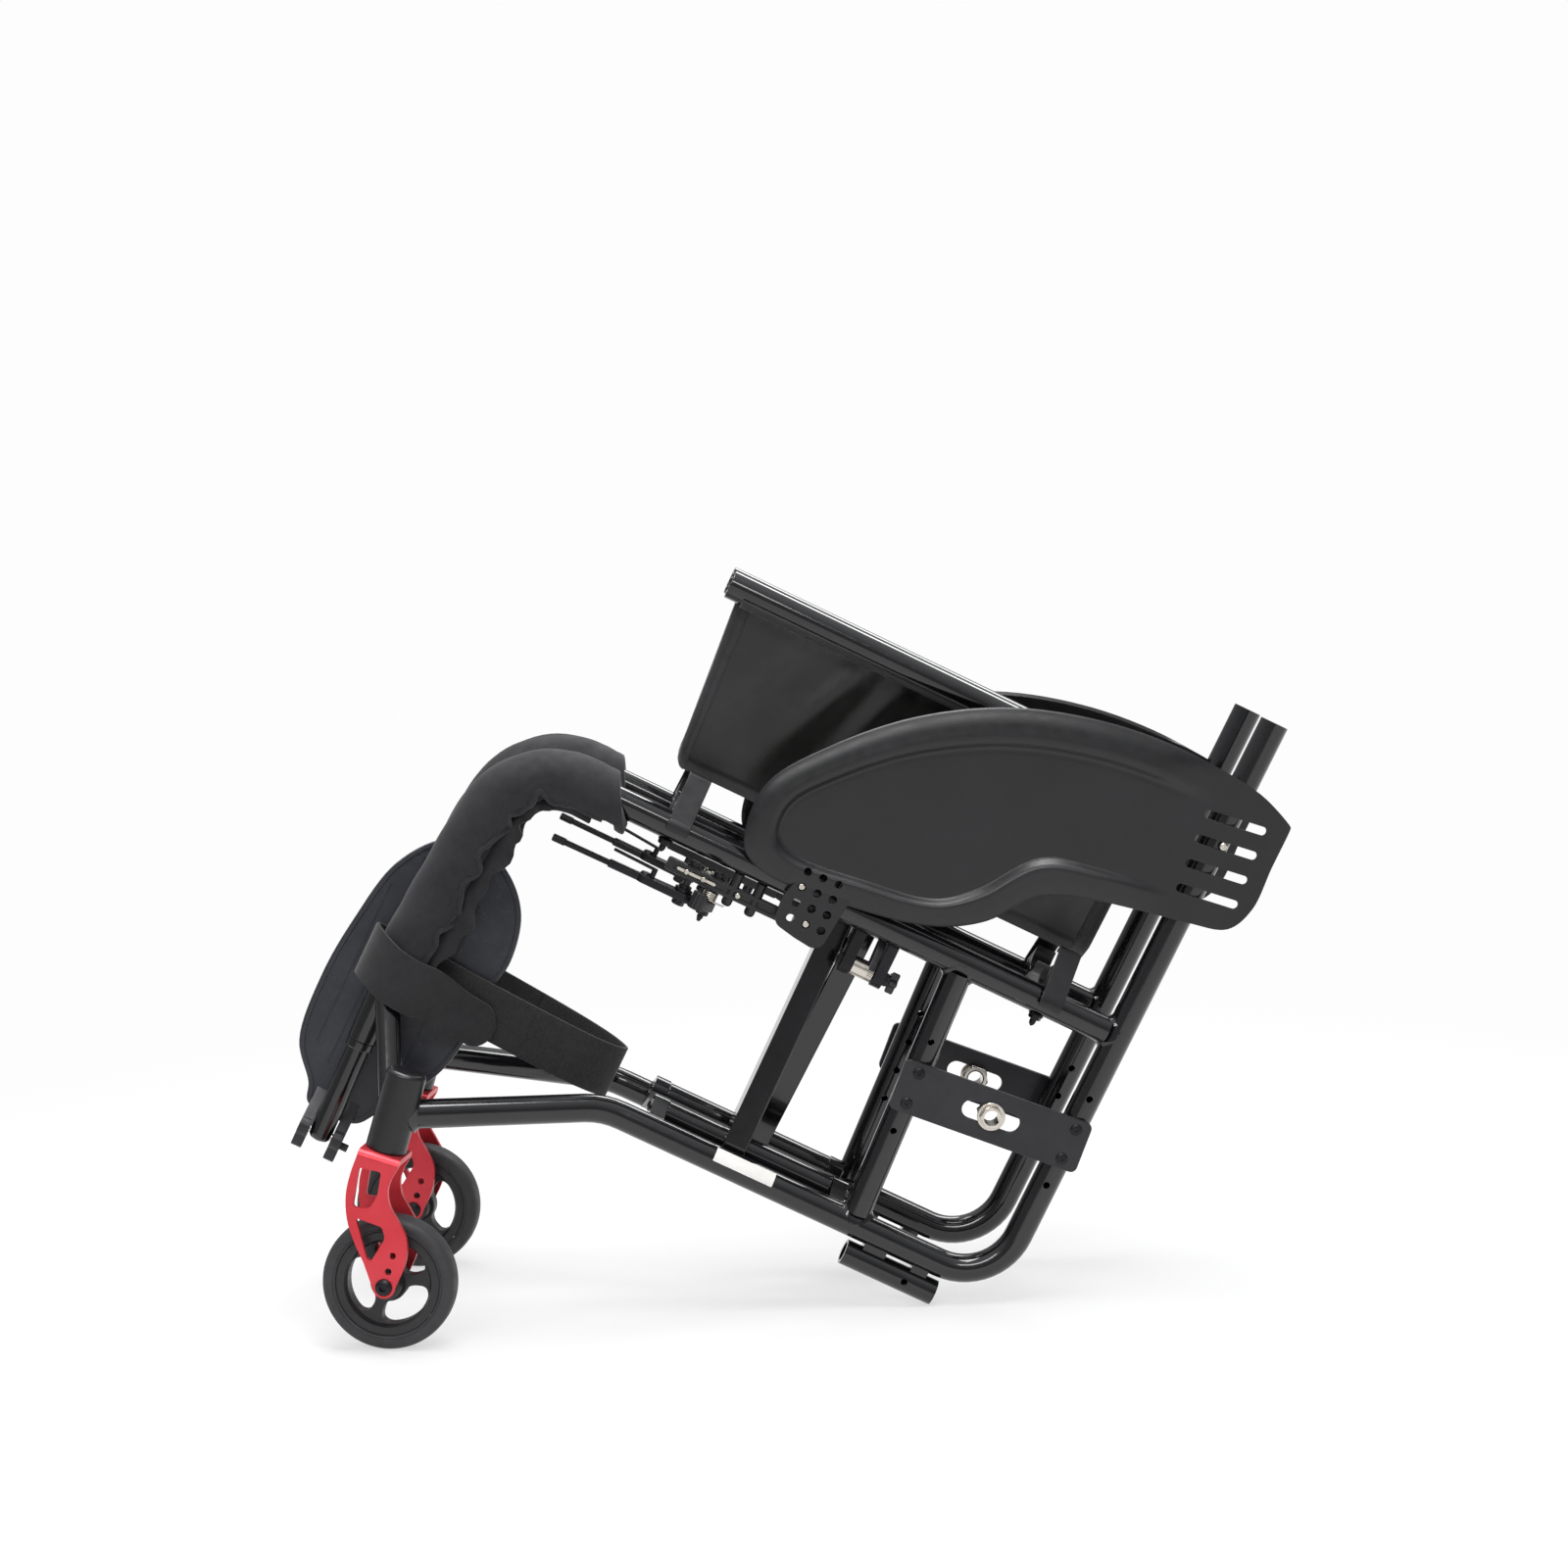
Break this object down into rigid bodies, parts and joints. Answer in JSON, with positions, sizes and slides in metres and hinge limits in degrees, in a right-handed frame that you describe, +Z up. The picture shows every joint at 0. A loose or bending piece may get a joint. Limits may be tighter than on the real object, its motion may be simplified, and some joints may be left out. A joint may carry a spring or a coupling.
{
  "type": "folding wheelchair frame",
  "caption": "Folded wheelchair frame with cross-brace, seat sling, side guards, swivelling castors, brakes and flip-up footplate.",
  "frame": {"origin": "centre of the footprint, on the floor that the castors and the anti-tip receivers rest on", "axes": "+X to the rear of the chair, +Y to its right side, +Z up"},
  "size_m": [0.775, 0.272, 0.5739],
  "materials": {
    "frame_paint": "gloss black powder coat",
    "red_anodised": "satin red anodised",
    "tyre": "matte rubber",
    "black_plastic": "matte",
    "guard_plastic": "satin moulded",
    "steel": "bright",
    "charcoal": "satin charcoal",
    "neoprene": "matte neoprene",
    "sling_fabric": "satin coated fabric",
    "webbing": "ribbed webbing"
  },
  "bodies": {
    "left_frame": {"left_base_tube": "frame_paint", "left_seat_tube": "frame_paint", "left_axle_post": "frame_paint", "left_front_strut": "frame_paint", "left_castor_housing": "frame_paint", "left_axle_plate": "charcoal", "left_axle_sleeve": "steel", "left_side_guard": "guard_plastic", "left_front_saddle": "black_plastic", "left_rear_saddle": "black_plastic", "left_front_pivot_bracket": "charcoal", "left_rear_pivot_bracket": "charcoal", "left_anti_tip_receiver": "frame_paint", "left_hanger_tube": "frame_paint", "left_knee_sleeve": "neoprene", "left_brake_rail": "charcoal", "left_link_hinge": "charcoal", "footplate_pin": "steel", "calf_strap": "webbing"},
    "right_frame": {"right_base_tube": "frame_paint", "right_seat_tube": "frame_paint", "right_axle_post": "frame_paint", "right_front_strut": "frame_paint", "right_castor_housing": "frame_paint", "right_axle_plate": "charcoal", "right_axle_sleeve": "steel", "right_side_guard": "guard_plastic", "right_front_saddle": "black_plastic", "right_rear_saddle": "black_plastic", "right_front_pivot_bracket": "charcoal", "right_rear_pivot_bracket": "charcoal", "right_anti_tip_receiver": "frame_paint", "right_hanger_tube": "frame_paint", "right_knee_sleeve": "neoprene", "right_brake_rail": "charcoal", "right_link_hinge": "charcoal"},
    "left_arm": {"left_brace": "frame_paint", "right_seat_rail": "frame_paint", "brace_bolt": "steel"},
    "right_arm": {"right_brace": "frame_paint", "left_seat_rail": "frame_paint", "seat_sling": "sling_fabric"},
    "footplate": {"footplate": "guard_plastic"},
    "left_link": {"left_fold_link": "charcoal"},
    "left_castor": {"left_castor_fork": "red_anodised", "left_castor_axle": "steel"},
    "left_wheel": {"left_castor_wheel": "black_plastic", "left_castor_tyre": "tyre"},
    "left_lever": {"left_brake_lever": "charcoal"},
    "left_shoe": {"left_brake_shoe": "charcoal"},
    "right_link": {"right_fold_link": "charcoal"},
    "right_castor": {"right_castor_fork": "red_anodised", "right_castor_axle": "steel"},
    "right_wheel": {"right_castor_wheel": "black_plastic", "right_castor_tyre": "tyre"},
    "right_lever": {"right_brake_lever": "charcoal"},
    "right_shoe": {"right_brake_shoe": "charcoal"}
  },
  "joints": [
    {"name": "fold", "type": "hinge", "parent": "left_frame", "child": "left_arm", "pos_m": [-0.03517, -0.02775, 0.12213], "axis": [-0.8887, 0, 0.4584], "range_deg": [0, 45.5], "deforming": ["seat_sling", "calf_strap"]},
    {"name": "cross", "type": "hinge", "parent": "left_arm", "child": "right_arm", "pos_m": [0.05492, 0.00325, 0.29678], "axis": [-0.8887, 0, 0.4584], "range_deg": [-91, 0]},
    {"name": "right_side", "type": "hinge", "parent": "right_arm", "child": "right_frame", "pos_m": [-0.03517, 0.03425, 0.12213], "axis": [-0.8887, 0, 0.4584], "range_deg": [0, 45.5]},
    {"name": "left_link_swing", "type": "hinge", "parent": "left_frame", "child": "left_link", "pos_m": [0.04276, -0.04275, 0.27321], "axis": [-0.8887, 0, 0.4584], "range_deg": [0, 72.34]},
    {"name": "left_castor_swivel", "type": "hinge", "parent": "left_frame", "child": "left_castor", "pos_m": [-0.30682, -0.10575, 0.15176], "axis": [0.3038, 0, 0.9527], "continuous": true},
    {"name": "left_wheel_spin", "type": "hinge", "parent": "left_castor", "child": "left_wheel", "pos_m": [-0.30727, -0.10999, 0.05093], "axis": [0.1326, 0.9903, -0.0423], "continuous": true},
    {"name": "left_brake", "type": "hinge", "parent": "left_frame", "child": "left_lever", "pos_m": [-0.07724, -0.05175, 0.33287], "axis": [0.4584, 0, 0.8887], "range_deg": [0, 60]},
    {"name": "left_brake_shoe_swing", "type": "hinge", "parent": "left_frame", "child": "left_shoe", "pos_m": [-0.06176, -0.05175, 0.31925], "axis": [0.4584, 0, 0.8887], "range_deg": [0, 45]},
    {"name": "right_link_swing", "type": "hinge", "parent": "right_frame", "child": "right_link", "pos_m": [0.04276, 0.04925, 0.27321], "axis": [0.8887, 0, -0.4584], "range_deg": [0, 72.34]},
    {"name": "right_castor_swivel", "type": "hinge", "parent": "right_frame", "child": "right_castor", "pos_m": [-0.30682, 0.11225, 0.15176], "axis": [0.3038, 0, 0.9527], "continuous": true},
    {"name": "right_wheel_spin", "type": "hinge", "parent": "right_castor", "child": "right_wheel", "pos_m": [-0.30727, 0.10801, 0.05093], "axis": [0.1326, 0.9903, -0.0423], "continuous": true},
    {"name": "right_brake", "type": "hinge", "parent": "right_frame", "child": "right_lever", "pos_m": [-0.07724, 0.05825, 0.33287], "axis": [-0.4584, 0, -0.8887], "range_deg": [0, 60]},
    {"name": "right_brake_shoe_swing", "type": "hinge", "parent": "right_frame", "child": "right_shoe", "pos_m": [-0.06176, 0.05825, 0.31925], "axis": [-0.4584, 0, -0.8887], "range_deg": [0, 45]},
    {"name": "footplate_flip", "type": "hinge", "parent": "left_frame", "child": "footplate", "pos_m": [-0.36265, -0.05175, 0.15266], "axis": [-0.8887, 0, 0.4584], "range_deg": [0, 84]}
  ],
  "couplings": [
    {"joint": "cross", "follows": "fold", "ratio": -2},
    {"joint": "right_side", "follows": "fold", "ratio": 1},
    {"joint": "left_link_swing", "follows": "fold", "ratio": 1.59},
    {"joint": "left_brake_shoe_swing", "follows": "left_brake", "ratio": 0.75},
    {"joint": "right_link_swing", "follows": "fold", "ratio": 1.59},
    {"joint": "right_brake_shoe_swing", "follows": "right_brake", "ratio": 0.75},
    {"joint": "footplate_flip", "follows": "fold", "ratio": 1.8462}
  ]
}
